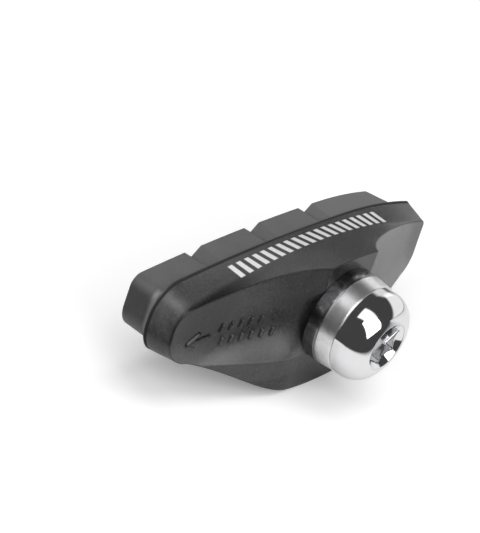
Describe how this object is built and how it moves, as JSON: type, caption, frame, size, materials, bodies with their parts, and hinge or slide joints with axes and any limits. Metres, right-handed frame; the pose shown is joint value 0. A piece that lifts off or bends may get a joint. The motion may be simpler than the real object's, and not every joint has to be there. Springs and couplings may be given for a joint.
{
  "type": "bicycle rim brake pad",
  "caption": "Bicycle rim brake pad: a moulded rubber shoe with an arched, grooved friction block, a flared back and a boss, with its button-head bolt and domed washers.",
  "frame": {"origin": "on the bolt axis, in the end face of the shoe's boss, where the brake arm is clamped", "axes": "+Y along the bolt axis to the friction face and the rim, -X forward along the rim, +Z away from the wheel's hub"},
  "size_m": [0.053, 0.0232, 0.0188],
  "materials": {
    "rubber": "moulded, satin",
    "chrome": "polished plating",
    "dark_steel": "turned",
    "insert_steel": "turned"
  },
  "bodies": {
    "root": {"rubber_shoe": "rubber", "threaded_insert": "insert_steel", "seat_washer": "dark_steel", "dished_washer": "chrome", "fixing_bolt": "chrome"}
  },
  "joints": []
}
